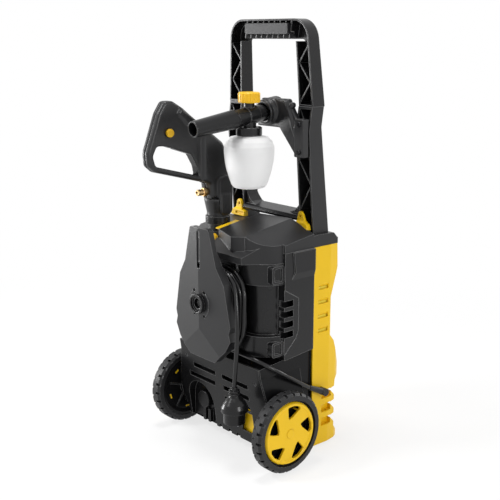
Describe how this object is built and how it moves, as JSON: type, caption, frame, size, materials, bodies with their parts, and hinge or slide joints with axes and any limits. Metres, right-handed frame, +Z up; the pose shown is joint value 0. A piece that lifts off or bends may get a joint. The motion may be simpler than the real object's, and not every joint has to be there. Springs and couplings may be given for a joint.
{
  "type": "pressure washer",
  "caption": "Upright wheeled electric pressure washer with handle frame, hung trigger gun, foam lance with bottle, and a mains cord wound on the rear face.",
  "frame": {"origin": "middle of the bounding box on the floor, cord nodes left out", "axes": "+Z up, -Y towards the cord-wrap face, +X towards the side whose leg carries the foam lance"},
  "size_m": [0.31, 0.2961, 0.749],
  "materials": {
    "black_plastic": "satin",
    "grey_textured": "textured",
    "yellow_plastic": "satin",
    "tyre": "matte",
    "rubber": "matte",
    "cord": "satin",
    "bottle": "translucent",
    "brass": "satin",
    "steel": "satin",
    "motor_metal": "satin",
    "aluminium": "satin"
  },
  "bodies": {
    "chassis": {"axle_left": "steel", "axle_right": "steel", "base_frame": "black_plastic", "base_rear_panel": "black_plastic", "panel_screws": "steel", "rear_housing": "black_plastic", "top_cover": "grey_textured", "trim_strip": "yellow_plastic", "front_cover": "yellow_plastic", "front_feet": "rubber", "leg_left": "grey_textured", "leg_right": "grey_textured", "handle": "black_plastic", "grip_pad": "rubber", "carry_bridge": "black_plastic", "leg_bracket_left": "yellow_plastic", "leg_bracket_right": "yellow_plastic", "hanger_plate": "grey_textured", "hub_ring": "black_plastic", "hanger_screws": "steel", "reel_drum": "black_plastic", "cord_coil": "cord", "cord_lead": "cord", "cord_tail": "cord", "cord_gland": "rubber", "plug": "rubber", "plug_pins": "steel", "gun_holder": "black_plastic", "lance_holder": "black_plastic", "holder_screws": "steel", "switch_box": "black_plastic", "motor_can": "motor_metal", "pump_body": "aluminium", "pump_head": "aluminium", "pump_mount": "yellow_plastic", "inlet_pipe": "rubber", "pump_outlet": "brass"},
    "wheel_left": {"tyre_left": "tyre", "rim_left": "black_plastic", "wheel_cover_left": "yellow_plastic"},
    "wheel_right": {"tyre_right": "tyre", "rim_right": "black_plastic", "wheel_cover_right": "yellow_plastic"},
    "gun": {"gun_shell_left": "black_plastic", "gun_shell_right": "black_plastic", "gun_trigger_pin": "steel", "gun_nipple": "brass", "gun_coupling": "black_plastic"},
    "trigger": {"gun_trigger": "black_plastic"},
    "trigger_lock": {"gun_lock": "yellow_plastic"},
    "foam_lance": {"foam_body": "black_plastic"},
    "nozzle": {"foam_nozzle": "black_plastic"},
    "dosing_knob": {"foam_knob": "yellow_plastic"},
    "bottle": {"foam_collar": "black_plastic", "foam_bottle": "bottle"},
    "power_switch": {"power_knob": "yellow_plastic"},
    "cap": {"inlet_cap": "black_plastic"},
    "rotor": {"motor_rotor": "steel"}
  },
  "joints": [
    {"name": "wheel_left_spin", "type": "hinge", "parent": "chassis", "child": "wheel_left", "pos_m": [-0.143, -0.0118, 0.07], "axis": [1, 0, 0], "continuous": true},
    {"name": "wheel_right_spin", "type": "hinge", "parent": "chassis", "child": "wheel_right", "pos_m": [0.143, -0.0118, 0.07], "axis": [1, 0, 0], "continuous": true},
    {"name": "gun_lift", "type": "slide", "parent": "chassis", "child": "gun", "axis": [0, 0, 1], "range_m": [0, 0.05]},
    {"name": "trigger_squeeze", "type": "hinge", "parent": "gun", "child": "trigger", "pos_m": [-0.057, -0.0248, 0.478], "axis": [1, 0, 0], "range_deg": [-8, 0], "stiffness_Nm_per_rad": 1.2, "springref_deg": 14.32},
    {"name": "lock_push", "type": "slide", "parent": "gun", "child": "trigger_lock", "axis": [1, 0, 0], "range_m": [-0.0018, 0.0018]},
    {"name": "lance_pull", "type": "slide", "parent": "chassis", "child": "foam_lance", "axis": [0, -0.9914, -0.1305], "range_m": [0, 0.035]},
    {"name": "nozzle_twist", "type": "hinge", "parent": "foam_lance", "child": "nozzle", "pos_m": [0.017, 0.0142, 0.591], "axis": [0, -0.9914, -0.1305], "range_deg": [0, 90]},
    {"name": "dosing_turn", "type": "hinge", "parent": "foam_lance", "child": "dosing_knob", "pos_m": [0.017, 0.0142, 0.62], "axis": [0, 0, 1], "range_deg": [0, 270]},
    {"name": "bottle_turn", "type": "hinge", "parent": "foam_lance", "child": "bottle", "pos_m": [0.017, 0.0142, 0.52], "axis": [0, 0, 1], "range_deg": [-180, 0]},
    {"name": "power_turn", "type": "hinge", "parent": "chassis", "child": "power_switch", "pos_m": [-0.03, -0.0278, 0.377], "axis": [0, 1, 0], "range_deg": [0, 90]},
    {"name": "cap_pull", "type": "slide", "parent": "chassis", "child": "cap", "axis": [0, -1, 0], "range_m": [0, 0.02]},
    {"name": "rotor_spin", "type": "hinge", "parent": "chassis", "child": "rotor", "pos_m": [0.046, 0.0432, 0.27], "axis": [0, 0, 1], "continuous": true}
  ]
}
